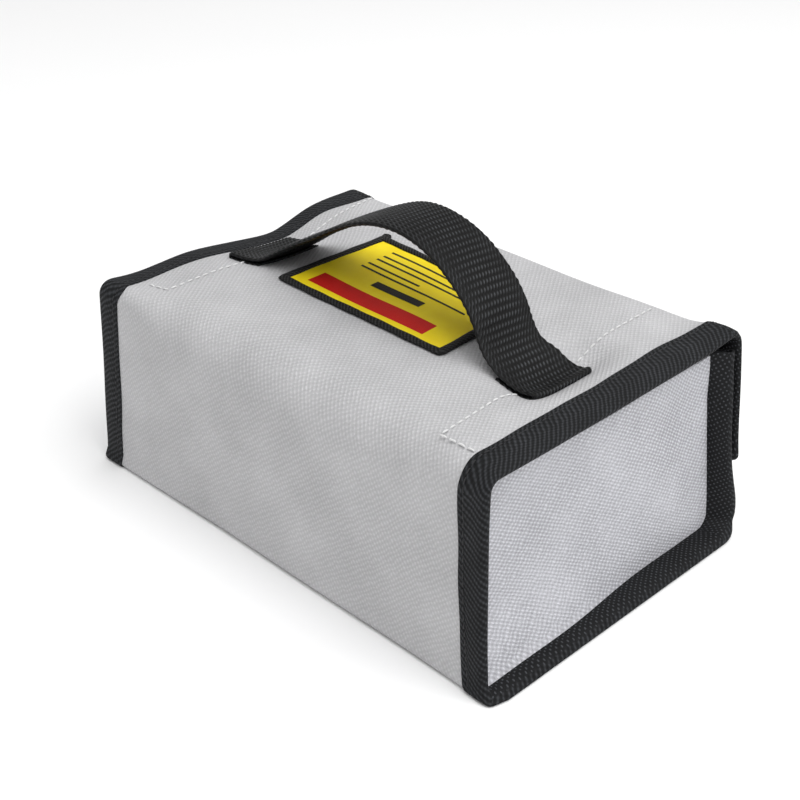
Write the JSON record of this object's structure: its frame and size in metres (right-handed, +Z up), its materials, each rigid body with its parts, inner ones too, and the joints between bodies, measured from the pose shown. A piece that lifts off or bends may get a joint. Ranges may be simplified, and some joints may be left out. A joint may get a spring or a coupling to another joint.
{
  "type": "battery storage bag",
  "caption": "Box-shaped fire-resistant cloth bag with taped end flanges, a hinged lid, a hanging front flap, tuck-in side flaps and a webbing carrying handle.",
  "frame": {"origin": "middle of the footprint, at the level the bag stands on", "axes": "+X along the length, +Y towards the front flap, +Z up through the lid"},
  "size_m": [0.175, 0.12, 0.0998],
  "materials": {
    "silver_cloth": "silicone-coated glass cloth, silver grey, satin",
    "lining_cloth": "coated glass cloth lining, matt silver grey",
    "black_tape": "woven nylon binding tape, matt black",
    "black_webbing": "coarse woven polypropylene webbing, black",
    "hook_and_loop": "black hook-and-loop tape",
    "label_yellow": "printed woven label, yellow, satin"
  },
  "bodies": {
    "bag_body": {"outer_shell": "silver_cloth", "body_lining": "lining_cloth", "end_panel_left": "silver_cloth", "end_panel_right": "silver_cloth", "end_binding_left": "black_tape", "end_binding_right": "black_tape", "mouth_binding": "black_tape", "front_loop_strip": "hook_and_loop"},
    "lid": {"lid_panel": "silver_cloth", "lid_lining": "lining_cloth", "lid_binding_left": "black_tape", "lid_binding_right": "black_tape", "lid_hook_strip_left": "hook_and_loop", "lid_hook_strip_right": "hook_and_loop", "handle_end_left": "black_webbing", "handle_end_right": "black_webbing", "label_patch": "label_yellow", "label_border": "black_tape"},
    "handle": {"handle_strap": "black_webbing"},
    "front_flap": {"flap_panel": "silver_cloth", "flap_binding": "black_tape", "flap_hook_strip": "hook_and_loop"},
    "tuck_left": {"tuck_flap_left": "silver_cloth", "tuck_binding_left": "black_tape", "tuck_loop_strip_left": "hook_and_loop"},
    "tuck_right": {"tuck_flap_right": "silver_cloth", "tuck_binding_right": "black_tape", "tuck_loop_strip_right": "hook_and_loop"}
  },
  "joints": [
    {"name": "lid_hinge", "type": "hinge", "parent": "bag_body", "child": "lid", "pos_m": [0, -0.0602, 0.06], "axis": [1, 0, 0], "range_deg": [0, 175]},
    {"name": "flap_hinge", "type": "hinge", "parent": "lid", "child": "front_flap", "pos_m": [0, 0.06, 0.061], "axis": [1, 0, 0], "range_deg": [0, 135]},
    {"name": "handle_lean", "type": "hinge", "parent": "lid", "child": "handle", "pos_m": [0, 0, 0.0715], "axis": [1, 0, 0], "range_deg": [-20, 20], "stiffness_Nm_per_rad": 0.02},
    {"name": "tuck_hinge_left", "type": "hinge", "parent": "bag_body", "child": "tuck_left", "pos_m": [-0.0825, 0, 0.06345], "axis": [0, -1, 0], "range_deg": [0, 87.5]},
    {"name": "tuck_hinge_right", "type": "hinge", "parent": "bag_body", "child": "tuck_right", "pos_m": [0.0825, 0, 0.06345], "axis": [0, 1, 0], "range_deg": [0, 87.5]}
  ],
  "couplings": [
    {"joint": "tuck_hinge_left", "follows": "lid_hinge", "ratio": 0.5},
    {"joint": "tuck_hinge_right", "follows": "lid_hinge", "ratio": 0.5}
  ]
}
